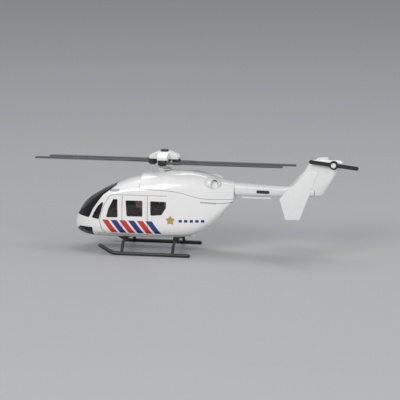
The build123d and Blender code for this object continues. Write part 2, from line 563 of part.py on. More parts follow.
os.makedirs("parts", exist_ok=True)
write("body_shell", make_body_shell())
write("belly_pan", make_belly_pan())
write("engine_cowling", make_engine_cowling())
write("centre_post", make_centre_post())
write_pair("windshield", flush_pane(SCREEN, 0, POST_HALF + PANE_GAP))
write_pair("quarter_window", flush_pane(QUARTER, SMALL_CORNER))
write_pair("roof_window", flush_pane(ROOF_PANE, SMALL_CORNER))
write_pair("chin_window", flush_pane(CHIN, CHIN_CORNER, CHIN_GAP + PANE_GAP))
write_pair("side_glazing", make_side_glazing())
write_pair("pilot_seat", make_pilot_seat())
write_pair("exhaust", make_exhaust())
write_pair("end_plate", make_end_plate())
write_pair("skid_tube", make_skid_tube())
write("cabin_floor", make_cabin_floor())
write("rear_bench", make_rear_bench())
write("instrument_panel", make_instrument_panel())
write("engine_deck", make_engine_deck())
write("tail_boom", make_tail_boom())
write("boom_keel", make_boom_keel())
write("tail_fin", make_tail_fin())
write("stabiliser", make_stabiliser())
for word, x in BOW_STATIONS.items():
    write(f"cross_bow_{word}", make_cross_bow(x))
write("bow_clamps", make_bow_clamps())
write("belly_screws", make_belly_screws())
write("mast_bush", make_mast_bush())
write("rotor_mast", make_rotor_mast())
write("mast_clip", make_mast_clip())
write("rotor_hub", make_rotor_hub())
write("hub_cap", make_hub_cap())
write("blade_pins", make_blade_pins())
for word, (pin_angle, heading) in BLADES.items():
    write(f"blade_{word}", make_blade(pin_angle, heading))
write("tail_rotor_blades", make_tail_rotor())
write("tail_rotor_axle", make_tail_axle())
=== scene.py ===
import json
import math

import bmesh
import bpy
from mathutils import Matrix, Vector


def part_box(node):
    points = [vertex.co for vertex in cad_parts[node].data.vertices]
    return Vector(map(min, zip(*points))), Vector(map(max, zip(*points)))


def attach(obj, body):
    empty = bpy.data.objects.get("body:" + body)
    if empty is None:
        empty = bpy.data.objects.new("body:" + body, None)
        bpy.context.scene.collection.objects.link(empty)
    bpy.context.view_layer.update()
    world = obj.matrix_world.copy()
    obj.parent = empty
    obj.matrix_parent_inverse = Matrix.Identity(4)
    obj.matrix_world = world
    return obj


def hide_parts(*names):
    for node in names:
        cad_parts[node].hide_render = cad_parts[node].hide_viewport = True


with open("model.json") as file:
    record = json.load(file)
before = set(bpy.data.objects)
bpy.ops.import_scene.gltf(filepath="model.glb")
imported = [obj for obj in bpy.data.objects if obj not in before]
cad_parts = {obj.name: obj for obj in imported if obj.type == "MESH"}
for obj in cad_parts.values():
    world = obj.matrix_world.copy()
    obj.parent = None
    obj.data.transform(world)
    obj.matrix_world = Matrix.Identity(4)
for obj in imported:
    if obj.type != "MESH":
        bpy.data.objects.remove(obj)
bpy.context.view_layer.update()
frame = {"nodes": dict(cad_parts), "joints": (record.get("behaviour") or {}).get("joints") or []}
MM = 0.001

# ------------------------------------------------------------------------------ camera
# A long lens that looks a little down on the model from just behind its port beam. The aim
# point is measured from the rotor mast, which stands at the middle of its own node.
mast_low, mast_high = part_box("rotor_mast")
MAST_X = (mast_low.x + mast_high.x) / 2
camera_data = bpy.data.cameras.new("camera")
camera_data.lens = 208.4
camera_data.sensor_width = 36.0
camera_data.clip_end = 20.0
camera = bpy.data.objects.new("camera", camera_data)
bpy.context.scene.collection.objects.link(camera)
aim = Vector((MAST_X + 26.04 * MM, -27.5 * MM, 36.0 * MM))
turn, rise, distance = math.radians(10.556), math.radians(11.242), 1.3206
camera.location = aim + distance * Vector((math.sin(turn) * math.cos(rise),
                                           -math.cos(turn) * math.cos(rise), math.sin(rise)))
camera.rotation_euler = (aim - camera.location).to_track_quat("-Z", "Y").to_euler()
bpy.context.scene.camera = camera


# ------------------------------------------------------------------------------ cast body
# The main casting is one hollow zinc shell, sprayed in thick gloss white and then printed on
# both sides. Its window openings, door lines and the slot behind the doors are cast in.
class Recipe:
    """Builds a node tree a line at a time, for a material, a shader group or a repeat."""

    def __init__(self, tree):
        self.tree = tree

    def add(self, kind, **settings):
        node = self.tree.nodes.new(kind)
        for key, value in settings.items():
            setattr(node, key, value)
        return node

    def feed(self, socket, value):
        """Links another node's output to the socket, or sets a plain value on it."""
        if isinstance(value, bpy.types.NodeSocket):
            self.tree.links.new(value, socket)
        else:
            socket.default_value = value

    def math(self, operation, *values):
        node = self.add("ShaderNodeMath", operation=operation)
        for socket, value in zip(node.inputs, values):
            self.feed(socket, value)
        return node.outputs[0]

    def between(self, value, low, high):
        """1 where the value lies between the two limits, and 0 elsewhere."""
        return self.math("MULTIPLY", self.math("GREATER_THAN", value, low),
                         self.math("LESS_THAN", value, high))

    def mix(self, mask, a, b):
        node = self.add("ShaderNodeMix", data_type="RGBA")
        for socket, value in zip((node.inputs[0], node.inputs[6], node.inputs[7]), (mask, a, b)):
            self.feed(socket, value)
        return node.outputs[2]

    def noise(self, scale, detail, rough=0.5):
        node = self.add("ShaderNodeTexNoise")
        self.feed(node.inputs["Vector"], self.add("ShaderNodeTexCoord").outputs["Object"])
        self.feed(node.inputs["Scale"], scale)
        node.inputs["Detail"].default_value = detail
        node.inputs["Roughness"].default_value = rough
        return node.outputs["Fac"]

    def place_mm(self):
        """X from the mast, Y and Z of the point, in millimetres."""
        split = self.add("ShaderNodeSeparateXYZ")
        self.feed(split.inputs[0], self.add("ShaderNodeTexCoord").outputs["Object"])
        x = self.math("MULTIPLY", self.math("SUBTRACT", split.outputs["X"], MAST_X), 1 / MM)
        y = self.math("MULTIPLY", split.outputs["Y"], 1 / MM)
        z = self.math("MULTIPLY", split.outputs["Z"], 1 / MM)
        return x, y, z

    def bump(self, height, distance):
        node = self.add("ShaderNodeBump")
        self.feed(node.inputs["Height"], height)
        node.inputs["Distance"].default_value = distance
        return node.outputs["Normal"]


def new_group(name, inputs, outputs):
    """Empty shader group with named sockets. Returns its recipe, inputs and output node."""
    tree = bpy.data.node_groups.new(name, "ShaderNodeTree")
    for label, start in inputs.items():
        socket = tree.interface.new_socket(label, in_out="INPUT", socket_type="NodeSocketFloat")
        socket.default_value = start
    for label in outputs:
        tree.interface.new_socket(label, in_out="OUTPUT", socket_type="NodeSocketFloat")
    make = Recipe(tree)
    return make, make.add("NodeGroupInput").outputs, make.add("NodeGroupOutput").inputs


def unevenness_group():
    """Orange peel and slow gloss changes of a sprayed or moulded surface."""
    make, given, out = new_group(
        "surface_unevenness",
        {"Fine Scale": 900.0, "Broad Scale": 60.0, "Roughness": 0.3, "Roughness Spread": 0.1,
         "Tint Spread": 0.05}, ("Tint", "Roughness", "Height"))
    fine_in_gloss, broad_in_height, fine_in_height = 0.5, 0.6, 0.4
    fine = make.noise(given["Fine Scale"], 3.0)
    broad = make.noise(given["Broad Scale"], 4.0, 0.6)
    broad_swing = make.math("SUBTRACT", broad, 0.5)
    fine_swing = make.math("SUBTRACT", fine, 0.5)
    both = make.math("MULTIPLY_ADD", fine_swing, fine_in_gloss, broad_swing)
    make.feed(out["Tint"], make.math("MULTIPLY_ADD", broad_swing, given["Tint Spread"], 1.0))
    make.feed(out["Roughness"], make.math("MULTIPLY_ADD", both, given["Roughness Spread"],
                                          given["Roughness"]))
    fine_height = make.math("MULTIPLY", fine, fine_in_height)
    make.feed(out["Height"], make.math("MULTIPLY_ADD", broad, broad_in_height, fine_height))
    return make.tree


def dust_group():
    """Fine dust that settles on surfaces that face up, thicker in patches."""
    make, given, out = new_group("settled_dust", {"Amount": 0.1, "Patch Scale": 120.0}, ("Dust",))
    patch_contrast, patch_floor = 1.6, -0.3
    normal = make.add("ShaderNodeNewGeometry").outputs["Normal"]
    split = make.add("ShaderNodeSeparateXYZ")
    make.feed(split.inputs[0], normal)
    facing_up = make.math("MAXIMUM", split.outputs["Z"], 0.0)
    cloud = make.noise(given["Patch Scale"], 6.0, 0.65)
    patches = make.math("MULTIPLY_ADD", cloud, patch_contrast, patch_floor)
    dust = make.math("MULTIPLY", make.math("MULTIPLY", facing_up, patches), given["Amount"])
    make.feed(out["Dust"], make.math("MAXIMUM", dust, 0.0))
    return make.tree


def scuff_group():
    """Thin crossing hairlines from handling, as a mask."""
    make, given, out = new_group("handling_scuffs", {"Density": 0.5, "Length Scale": 40.0}, ("Scuff",))
    stretch, line_width = 14.0, 0.004
    place = make.add("ShaderNodeTexCoord").outputs["Object"]
    lines = []
    for angle in (0.5, 1.9, 2.7):
        turned = make.add("ShaderNodeMapping")
        turned.inputs["Rotation"].default_value = (angle, angle * 1.3, angle * 0.7)
        turned.inputs["Scale"].default_value = (1.0, stretch, stretch)
        make.feed(turned.inputs["Vector"], place)
        node = make.add("ShaderNodeTexNoise")
        make.feed(node.inputs["Vector"], turned.outputs["Vector"])
        make.feed(node.inputs["Scale"], given["Length Scale"])
        node.inputs["Detail"].default_value = 1.0
        ridge = make.math("ABSOLUTE", make.math("SUBTRACT", node.outputs["Fac"], 0.5))
        width = make.math("MULTIPLY", given["Density"], line_width)
        lines.append(make.math("LESS_THAN", ridge, width))
    first_two = make.math("MAXIMUM", lines[0], lines[1])
    make.feed(out["Scuff"], make.math("MAXIMUM", first_two, lines[2]))
    return make.tree


def recess_shade_group():
    """Painted shade in seams, grooves and other narrow recesses, from ambient occlusion, as a mask."""
    make, given, out = new_group("painted_recess_shade", {"Reach": 1 * MM, "Strength": 1.0}, ("Painted Shade",))
    narrowing = 2.4
    cavity = make.add("ShaderNodeAmbientOcclusion", samples=8)
    make.feed(cavity.inputs["Distance"], given["Reach"])
    closed = make.math("SUBTRACT", 1.0, cavity.outputs["AO"])
    depth = make.math("POWER", closed, narrowing)
    make.feed(out["Painted Shade"], make.math("MINIMUM", make.math("MULTIPLY", depth, given["Strength"]), 1.0))
    return make.tree


UNEVENNESS, DUST, SCUFFS, RECESS_SHADE = unevenness_group(), dust_group(), scuff_group(), recess_shade_group()


def place_group(make, tree, **values):
    """Sets a shared group into a material with its own values, and returns its outputs."""
    node = make.add("ShaderNodeGroup")
    node.node_tree = tree
    for label, value in values.items():
        node.inputs[label.replace("_", " ")].default_value = value
    return node.outputs


# Reach and colour of the painted shade that darkens seams, grooves and narrow recesses.
RECESS_REACH = 1.0 * MM
RECESS_SHADE_COLOUR = (0.07, 0.065, 0.06, 1)
DUST_GREY, DUST_DULLING, SCUFF_DULLING = (0.42, 0.41, 0.39, 1), 0.8, 0.18


def moulding_finish(name, colour, rough, peel, patch, gloss_spread=0.1, tint_spread=0.06,
                    bump=0.01 * MM, dust=0.0, scuff=0.0, recess_shading=0.0, marks=None, **shader_values):
    """Opaque finish whose tint, gloss and level change over the surface. Peel and patch are the
    scales of its fine and broad unevenness, and marks prints on it."""
    material = bpy.data.materials.new(name)
    material.use_nodes = True
    make = Recipe(material.node_tree)
    shader = material.node_tree.nodes["Principled BSDF"]
    uneven = place_group(make, UNEVENNESS, Fine_Scale=peel, Broad_Scale=patch, Roughness=rough,
                         Roughness_Spread=gloss_spread, Tint_Spread=tint_spread)
    base = make.add("ShaderNodeVectorMath", operation="SCALE")
    base.inputs[0].default_value = colour
    make.feed(base.inputs["Scale"], uneven["Tint"])
    paint = base.outputs[0]
    if marks:
        paint = marks(make, paint)
    roughness = uneven["Roughness"]
    # Painted shade: ambient occlusion darkens seams, grooves and narrow recesses towards dark brown.
    if recess_shading:
        painted_shade = place_group(make, RECESS_SHADE, Reach=RECESS_REACH, Strength=recess_shading)["Painted Shade"]
        paint = make.mix(painted_shade, paint, RECESS_SHADE_COLOUR)
    if dust:
        grey = place_group(make, DUST, Amount=dust)["Dust"]
        paint = make.mix(grey, paint, DUST_GREY)
        roughness = make.math("MULTIPLY_ADD", grey, DUST_DULLING, roughness)
    if scuff:
        hairlines = place_group(make, SCUFFS, Density=scuff)["Scuff"]
        roughness = make.math("ADD", make.math("MULTIPLY", hairlines, SCUFF_DULLING), roughness)
    make.feed(shader.inputs["Base Color"], paint)
    make.feed(shader.inputs["Roughness"], roughness)
    make.feed(shader.inputs["Normal"], make.bump(uneven["Height"], bump))
    for label, value in shader_values.items():
        shader.inputs[label.replace("_", " ")].default_value = value
    return material


PRINT_RED = (0.58, 0.022, 0.012, 1)
PRINT_BLUE = (0.004, 0.026, 0.17, 1)
PRINT_GOLD = (0.42, 0.31, 0.09, 1)


def printed_marks(make, paint):
    """Plain slanted red and blue blocks, a small star and a row of short dashes, in millimetres
    from the mast and from the ground."""
    flank_y = 8.0
    x, y, z = make.place_mm()
    outside = make.math("GREATER_THAN", make.math("ABSOLUTE", y), flank_y)

    blocks_low, blocks_high, lean = 11.9, 19.6, 0.72
    blocks_front, blocks_back, pitch = -20.6, 10.4, 10.4
    red_end, blue_start, blue_end = 0.36, 0.5, 0.86
    slant = make.math("MULTIPLY_ADD", z, lean, x)
    band = make.math("MULTIPLY", make.between(z, blocks_low, blocks_high),
                     make.between(slant, blocks_front, blocks_back))
    cell = make.math("FRACT", make.math("DIVIDE", make.math("ADD", slant, -blocks_front), pitch))
    red = make.math("MULTIPLY", band, make.math("LESS_THAN", cell, red_end))
    blue = make.math("MULTIPLY", band, make.between(cell, blue_start, blue_end))

    row_low, row_high, row_front, row_back = 19.4, 21.0, 10.8, 26.2
    dash_pitch, dash_share = 3.2, 0.6
    step = make.math("FRACT", make.math("DIVIDE", make.math("SUBTRACT", x, row_front), dash_pitch))
    row = make.math("MULTIPLY", make.between(z, row_low, row_high), make.between(x, row_front, row_back))
    dash = make.math("MULTIPLY", row, make.math("LESS_THAN", step, dash_share))

    star_x, star_z, point_slope, star_size = 6.0, 20.4, 1.376, 2.9
    across = make.math("SUBTRACT", x, star_x)
    up = make.math("SUBTRACT", z, star_z)
    fifth = math.radians(72)
    angle = make.math("ADD", make.math("ARCTAN2", across, up), fifth / 2)
    in_point = make.math("SUBTRACT", make.math("FLOORED_MODULO", angle, fifth), fifth / 2)
    folded = make.math("ABSOLUTE", in_point)
    radius = make.math("SQRT", make.math("MULTIPLY_ADD", across, across, make.math("MULTIPLY", up, up)))
    along = make.math("MULTIPLY", radius, make.math("COSINE", folded))
    aside = make.math("MULTIPLY", radius, make.math("SINE", folded))
    star = make.math("LESS_THAN", make.math("MULTIPLY_ADD", aside, point_slope, along), star_size)

    paint = make.mix(make.math("MULTIPLY", red, outside), paint, PRINT_RED)
    cool = make.math("MAXIMUM", blue, dash)
    paint = make.mix(make.math("MULTIPLY", cool, outside), paint, PRINT_BLUE)
    return make.mix(make.math("MULTIPLY", star, outside), paint, PRINT_GOLD)


def sprayed_enamel(name, marks=None):
    """Thick gloss white over zinc, under a clear coat."""
    return moulding_finish(name, (0.80, 0.80, 0.785), rough=0.15, peel=750, patch=90,
                           gloss_spread=0.07, tint_spread=0.035, bump=0.012 * MM, scuff=0.4,
                           recess_shading=1.6, marks=marks, Coat_Weight=0.6, Coat_Roughness=0.05)


ENAMEL = sprayed_enamel("white_enamel")
PRINTED = sprayed_enamel("printed_enamel", printed_marks)


def add_piece(name, mesh, material, body, node):
    """Puts a finished mesh into the model, riding on a body and standing for its CAD node."""
    mesh.name = name
    mesh.materials.clear()
    mesh.materials.append(material)
    piece = bpy.data.objects.new(name, mesh)
    bpy.context.scene.collection.objects.link(piece)
    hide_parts(node)
    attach(piece, body)


CORNER_GAP, CASTING_CREASE = 0.001 * MM, math.radians(32)


def joined_mesh(node):
    """Copy of a node's mesh with its loose triangles joined at their corners."""
    mesh = frame["nodes"][node].data.copy()
    work = bmesh.new()
    work.from_mesh(mesh)
    bmesh.ops.remove_doubles(work, verts=work.verts, dist=CORNER_GAP)
    work.to_mesh(mesh)
    work.free()
    if mesh.has_custom_normals:
        mesh.attributes.remove(mesh.attributes["custom_normal"])
    return mesh


def smooth_piece(name, node, material, body="airframe"):
    """The node's own surface, shaded smoothly between creases so that gloss runs over it."""
    mesh = joined_mesh(node)
    mesh.shade_smooth()
    mesh.set_sharp_from_angle(angle=CASTING_CREASE)
    add_piece(name, mesh, material, body, node)


smooth_piece("cast_body", "body_shell", PRINTED)


# ------------------------------------------------------------------------------ belly tray
# A white moulded tray closes the casting from below. It is pushed in along a seam that shows
# under the doors, and two screws hold it.
def white_moulding(name, marks=None):
    """Self-coloured white plastic, a little less glossy than the spray and faintly waxy."""
    return moulding_finish(name, (0.77, 0.775, 0.765), rough=0.27, peel=1300, patch=140,
                           gloss_spread=0.08, tint_spread=0.04, bump=0.003 * MM, recess_shading=1.2,
                           marks=marks, Coat_Weight=0.1, Subsurface_Weight=0.04,
                           Subsurface_Radius=(0.5 * MM, 0.5 * MM, 0.4 * MM))


MOULDED_WHITE = white_moulding("moulded_white")
smooth_piece("belly_tray", "belly_pan", MOULDED_WHITE)

# ------------------------------------------------------------------------------ cowling
# The engine cowling is a second white casting. It sits on the body behind the roof step, with
# an open seam all round.
smooth_piece("engine_cover", "engine_cowling", ENAMEL)


# ------------------------------------------------------------------------------ glazing
# Windshield, quarter, chin and door panes are clear mouldings in dark smoke, each pressed into
# its opening from inside. The door panes are paler than the nose, and the roof panes are milky.
def smoke_plastic(name, colour, rough):
    """Clear coloured moulding with faint flow ripples."""
    material = bpy.data.materials.new(name)
    material.use_nodes = True
    make = Recipe(material.node_tree)
    shader = material.node_tree.nodes["Principled BSDF"]
    uneven = place_group(make, UNEVENNESS, Fine_Scale=500.0, Broad_Scale=45.0, Roughness=rough,
                         Roughness_Spread=0.03, Tint_Spread=0.1)
    base = make.add("ShaderNodeVectorMath", operation="SCALE")
    base.inputs[0].default_value = colour
    make.feed(base.inputs["Scale"], uneven["Tint"])
    make.feed(shader.inputs["Base Color"], base.outputs[0])
    make.feed(shader.inputs["Roughness"], uneven["Roughness"])
    make.feed(shader.inputs["Normal"], make.bump(uneven["Height"], 0.02 * MM))
    shader.inputs["Transmission Weight"].default_value = 1.0
    shader.inputs["IOR"].default_value = 1.49
    return material


SMOKE = smoke_plastic("smoke_plastic", (0.10, 0.095, 0.115), rough=0.03)
PALE_SMOKE = smoke_plastic("pale_smoke_plastic", (0.46, 0.37, 0.34), rough=0.05)
MILKY_SMOKE = moulding_finish("milky_smoke_plastic", (0.42, 0.41, 0.40), rough=0.22, peel=900,
                              patch=160, tint_spread=0.12, Coat_Weight=0.5, Coat_Roughness=0.08)
smooth_piece("windshield_bar", "centre_post", ENAMEL)
for side in ("port", "starboard"):
    smooth_piece(f"screen_pane_{side}", f"windshield_{side}", SMOKE)
    smooth_piece(f"quarter_pane_{side}", f"quarter_window_{side}", SMOKE)
    smooth_piece(f"chin_pane_{side}", f"chin_window_{side}", SMOKE)
    smooth_piece(f"roof_pane_{side}", f"roof_window_{side}", MILKY_SMOKE)
    smooth_piece(f"door_panes_{side}", f"side_glazing_{side}", PALE_SMOKE)


# ------------------------------------------------------------------------------ cabin
# Floor tray, instrument panel, seats, bench and engine deck are matt mouldings in dark greys.
# They are clipped in before the tray closes, and show only through the smoke glass.
def moulded_mesh(node, voxel, rounds):
    """Copy of a node with all its edges softened, as moulded plastic has them."""
    rough_mesh = joined_mesh(node)
    holder = bpy.data.objects.new("moulding_holder", rough_mesh)
    bpy.context.scene.collection.objects.link(holder)
    skin = holder.modifiers.new("skin", "REMESH")
    skin.mode = "VOXEL"
    skin.voxel_size = voxel
    ease = holder.modifiers.new("ease", "SMOOTH")
    ease.iterations = rounds
    mesh = bpy.data.meshes.new_from_object(holder.evaluated_get(bpy.context.evaluated_depsgraph_get()))
    bpy.data.objects.remove(holder)
    bpy.data.meshes.remove(rough_mesh)
    mesh.shade_smooth()
    return mesh


def moulded_piece(name, node, material, body="airframe", *, voxel, rounds=4):
    """A softened copy of the node. The voxel is finer than its thinnest wall."""
    add_piece(name, moulded_mesh(node, voxel, rounds), material, body, node)


CABIN_GREY = moulding_finish("cabin_moulding", (0.05, 0.05, 0.055), rough=0.55, peel=2600,
                             patch=200, bump=0.02 * MM, dust=0.05)
SEAT_GREY = moulding_finish("seat_moulding", (0.13, 0.13, 0.14), rough=0.6, peel=2600,
                            patch=200, bump=0.03 * MM, dust=0.05)
for node in ("cabin_floor", "instrument_panel", "engine_deck"):
    smooth_piece(f"{node}_moulding", node, CABIN_GREY)
for node in ("pilot_seat_port", "pilot_seat_starboard", "rear_bench"):
    moulded_piece(f"{node}_moulding", node, SEAT_GREY, voxel=0.3 * MM)

# ------------------------------------------------------------------------------ exhausts
# Each exhaust is a white blister glued to the flank of the cowling, with a round mouth that
# faces out and aft.
for side in ("port", "starboard"):
    moulded_piece(f"exhaust_{side}_blister", f"exhaust_{side}", MOULDED_WHITE,
                  voxel=0.13 * MM, rounds=6)


# ------------------------------------------------------------------------------ tail boom
# The boom is a white moulding on a spigot in the cowling, with a thin keel strip below it. A
# plain dark block is printed on its sides.
PRINT_BLACK = (0.03, 0.03, 0.035, 1)


def boom_block(make, paint):
    """One dark printed block with rounded ends on the boom's side, in millimetres."""
    middle, half_straight = 58.5, 2.9
    height, half_height, boom_fall = 38.2, 0.95, 0.02
    x, _, z = make.place_mm()
    level = make.math("MULTIPLY_ADD", x, boom_fall, z)
    from_middle = make.math("ABSOLUTE", make.math("SUBTRACT", x, middle))
    past_end = make.math("MAXIMUM", make.math("SUBTRACT", from_middle, half_straight), 0.0)
    off_line = make.math("SUBTRACT", level, height)
    away = make.math("SQRT", make.math("MULTIPLY_ADD", past_end, past_end,
                                       make.math("MULTIPLY", off_line, off_line)))
    return make.mix(make.math("LESS_THAN", away, half_height), paint, PRINT_BLACK)


BOOM_WHITE = white_moulding("printed_white_moulding", boom_block)
smooth_piece("tail_boom_moulding", "tail_boom", BOOM_WHITE)
moulded_piece("boom_keel_strip", "boom_keel", MOULDED_WHITE, voxel=0.12 * MM)

# ------------------------------------------------------------------------------ tail surfaces
# Fin, stabiliser and end plates are thin white mouldings with soft edges, glued into slots in
# the boom and on to each other.
MOULDING_CREASE = math.radians(40)
TAIL_PLATE_EDGE, SAME_PLANE = 0.22 * MM, math.radians(0.5)


def ease_edges(work, edge):
    """Rounds every edge sharper than the crease angle, as tooling leaves it."""
    sharp = [e for e in work.edges if e.is_manifold and e.calc_face_angle() > MOULDING_CREASE]
    bmesh.ops.bevel(work, geom=sharp, offset=edge, offset_type="OFFSET", segments=3, profile=0.5,
                    affect="EDGES", clamp_overlap=False)


def finished_mesh(name, work):
    """Closes the working copy into a mesh that is smooth between its creases."""
    mesh = bpy.data.meshes.new(name)
    work.to_mesh(mesh)
    work.free()
    mesh.shade_smooth()
    mesh.set_sharp_from_angle(angle=MOULDING_CREASE)
    return mesh


def flat_faced(node):
    """Working copy of a node with its flat faces in one piece each."""
    work = bmesh.new()
    mesh = joined_mesh(node)
    work.from_mesh(mesh)
    bpy.data.meshes.remove(mesh)
    bmesh.ops.dissolve_limit(work, angle_limit=SAME_PLANE, verts=work.verts, edges=work.edges)
    return work


for node in ("stabiliser", "end_plate_port", "end_plate_starboard"):
    work = flat_faced(node)
    ease_edges(work, TAIL_PLATE_EDGE)
    add_piece(f"{node}_moulding", finished_mesh(node, work), MOULDED_WHITE, "airframe",
              node)
moulded_piece("tail_fin_moulding", "tail_fin", MOULDED_WHITE, voxel=0.25 * MM, rounds=12)

# ------------------------------------------------------------------------------ skids
# Skid tubes and cross tubes are satin black mouldings. Saddle blocks hold the cross tubes up
# against the belly tray.
BLACK = moulding_finish("black_moulding", (0.017, 0.017, 0.018), rough=0.36, peel=1800, patch=160,
                        gloss_spread=0.16, tint_spread=0.3, bump=0.02 * MM, dust=0.06, scuff=0.7)
for node in ("skid_tube_port", "skid_tube_starboard", "cross_bow_front", "cross_bow_rear"):
    smooth_piece(f"{node}_moulding", node, BLACK)
moulded_piece("saddle_blocks", "bow_clamps", BLACK, voxel=0.12 * MM)

# ------------------------------------------------------------------------------ belly screws
# Two bright pan-head screws with cross slots go up through the bosses of the belly tray.
BRIGHT_STEEL = moulding_finish("bright_steel", (0.60, 0.60, 0.61), rough=0.28, peel=3000,
                               patch=400, gloss_spread=0.2, tint_spread=0.15, bump=0.008 * MM,
                               scuff=1.0, Metallic=1.0)


def repeat_tree(name, inputs, place_points):
    """Tree that sets the input mesh on the points that place_points makes, as one real mesh."""
    tree = bpy.data.node_groups.new(name, "GeometryNodeTree")
    tree.interface.new_socket("Geometry", in_out="INPUT", socket_type="NodeSocketGeometry")
    for label, kind in inputs.items():
        tree.interface.new_socket(label, in_out="INPUT", socket_type=kind)
    tree.interface.new_socket("Material", in_out="INPUT", socket_type="NodeSocketMaterial")
    tree.interface.new_socket("Geometry", in_out="OUTPUT", socket_type="NodeSocketGeometry")
    make = Recipe(tree)
    given = make.add("NodeGroupInput").outputs
    copies = make.add("GeometryNodeInstanceOnPoints")
    make.feed(copies.inputs["Points"], place_points(make, given))
    make.feed(copies.inputs["Instance"], given["Geometry"])
    solid = make.add("GeometryNodeRealizeInstances")
    make.feed(solid.inputs["Geometry"], copies.outputs["Instances"])
    coat = make.add("GeometryNodeSetMaterial")
    make.feed(coat.inputs["Geometry"], solid.outputs["Geometry"])
    make.feed(coat.inputs["Material"], given["Material"])
    make.feed(make.add("NodeGroupOutput").inputs["Geometry"], coat.outputs["Geometry"])
    return tree


def repeated_mesh(single, tree, material, **values):
    """Runs a repeat tree on one finished mesh and returns the plain mesh of all its copies."""
    holder = bpy.data.objects.new("repeat_holder", single)
    bpy.context.scene.collection.objects.link(holder)
    modifier = holder.modifiers.new("repeat", "NODES")
    modifier.node_group = tree
    sockets = {item.name: item.identifier for item in tree.interface.items_tree
               if item.in_out == "INPUT"}
    for label, value in {**values, "Material": material}.items():
        modifier[sockets[label.replace("_", " ")]] = value
    mesh = bpy.data.meshes.new_from_object(holder.evaluated_get(bpy.context.evaluated_depsgraph_get()))
    bpy.data.objects.remove(holder)
    bpy.data.meshes.remove(single)
    return mesh


def row_points(make, given):
    """Points in a straight row."""
    line = make.add("GeometryNodeMeshLine", mode="OFFSET")
    make.feed(line.inputs["Count"], given["Count"])
    make.feed(line.inputs["Start Location"], given["Start"])
    make.feed(line.inputs["Offset"], given["Step"])
    return line.outputs["Mesh"]


SCREW_ROW = repeat_tree("screws_in_row", {"Count": "NodeSocketInt", "Start": "NodeSocketVector",
                                          "Step": "NodeSocketVector"}, row_points)
SHANK_FROM = 1.5 * MM
work = bmesh.new()
mesh = joined_mesh("belly_screws")
work.from_mesh(mesh)
bpy.data.meshes.remove(mesh)
screws_low, screws_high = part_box("belly_screws")
middle_x = (screws_low.x + screws_high.x) / 2
rear_head_z = min(v.co.z for v in work.verts if v.co.x > middle_x)
screw_head_radius = screws_high.y
screw_step = Vector((screws_high.x - screws_low.x - 2 * screw_head_radius, 0,
                     rear_head_z - screws_low.z))
bmesh.ops.delete(work, geom=[v for v in work.verts if v.co.x > middle_x], context="VERTS")
first_place = Vector((screws_low.x + screw_head_radius, 0, screws_low.z))
bmesh.ops.translate(work, verts=work.verts, vec=-first_place)
# The front screw is the pattern for both, cut to the length of the rear one.
for v in work.verts:
    if v.co.z > SHANK_FROM:
        v.co.z = min(v.co.z, screws_high.z - rear_head_z)
add_piece("belly_screw_pair", repeated_mesh(
    finished_mesh("belly_screw", work), SCREW_ROW, BRIGHT_STEEL, Count=2, Start=first_place,
    Step=screw_step), BRIGHT_STEEL, "airframe", "belly_screws")

# ------------------------------------------------------------------------------ mast
# The mast is a white plastic shaft that turns in a flanged bush in the cowling. A steel spring
# clip snaps into place below the bush.
smooth_piece("mast_bush_moulding", "mast_bush", MOULDED_WHITE)
smooth_piece("rotor_mast_shaft", "rotor_mast", MOULDED_WHITE, "main_rotor")
smooth_piece("mast_spring_clip", "mast_clip", BRIGHT_STEEL, "main_rotor")

# ------------------------------------------------------------------------------ rotor head
# The head is one white moulding of four broad arms on a domed boss, with a black cap pressed
# in its top. A steel pin with a flat head goes up through each blade root into its arm.
moulded_piece("rotor_head", "rotor_hub", MOULDED_WHITE, "main_rotor",
              voxel=0.15 * MM, rounds=16)
moulded_piece("rotor_head_cap", "hub_cap", BLACK, "main_rotor", voxel=0.1 * MM)


def turned_into(work, section, closed=False):
    """Adds the shape that a section of (radius, height) points makes about the Z axis."""
    steps = 48
    turns = [2 * math.pi * k / steps for k in range(steps)]
    rings = []
    for radius, height in section:
        rings.append([work.verts.new((radius * math.cos(turn), radius * math.sin(turn), height))
                      for turn in (turns if radius > 0 else turns[:1])])
    for lower, upper in zip(rings, rings[1:] + (rings[:1] if closed else [])):
        for k in range(steps):
            corners = [lower[k % len(lower)], lower[(k + 1) % len(lower)],
                       upper[(k + 1) % len(upper)], upper[k % len(upper)]]
            work.faces.new(list(dict.fromkeys(corners)))
    bmesh.ops.recalc_face_normals(work, faces=work.faces)


def ring_points(make, given):
    """Points evenly round a ring."""
    circle = make.add("GeometryNodeMeshCircle")
    make.feed(circle.inputs["Vertices"], given["Count"])
    make.feed(circle.inputs["Radius"], given["Ring Radius"])
    moved = make.add("GeometryNodeTransform")
    make.feed(moved.inputs["Geometry"], circle.outputs["Mesh"])
    make.feed(moved.inputs["Translation"], given["Centre"])
    return moved.outputs["Geometry"]


PIN_RING = repeat_tree("pins_in_ring", {"Count": "NodeSocketInt", "Ring Radius": "NodeSocketFloat",
                                        "Centre": "NodeSocketVector"}, ring_points)
pins_low, pins_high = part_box("blade_pins")
joint_place = {joint["child"]: Vector(joint["pos_m"]) for joint in frame["joints"]}
pin_ring_radius = joint_place["blade_aft"].x - MAST_X
PIN_RADIUS, PIN_HEAD_HIGH, PIN_EDGE = 1.0 * MM, 0.8 * MM, 0.15 * MM
pin_head_radius = pins_high.x - joint_place["blade_aft"].x
pin_length = pins_high.z - pins_low.z
work = bmesh.new()
turned_into(work, [(0, 0), (pin_head_radius, 0), (pin_head_radius, PIN_HEAD_HIGH),
                   (PIN_RADIUS, PIN_HEAD_HIGH), (PIN_RADIUS, pin_length), (0, pin_length)])
ease_edges(work, PIN_EDGE)
add_piece("blade_pin_set", repeated_mesh(
    finished_mesh("blade_pin", work), PIN_RING, BRIGHT_STEEL, Count=4, Ring_Radius=pin_ring_radius,
    Centre=Vector((MAST_X, 0, pins_low.z))), BRIGHT_STEEL, "main_rotor", "blade_pins")


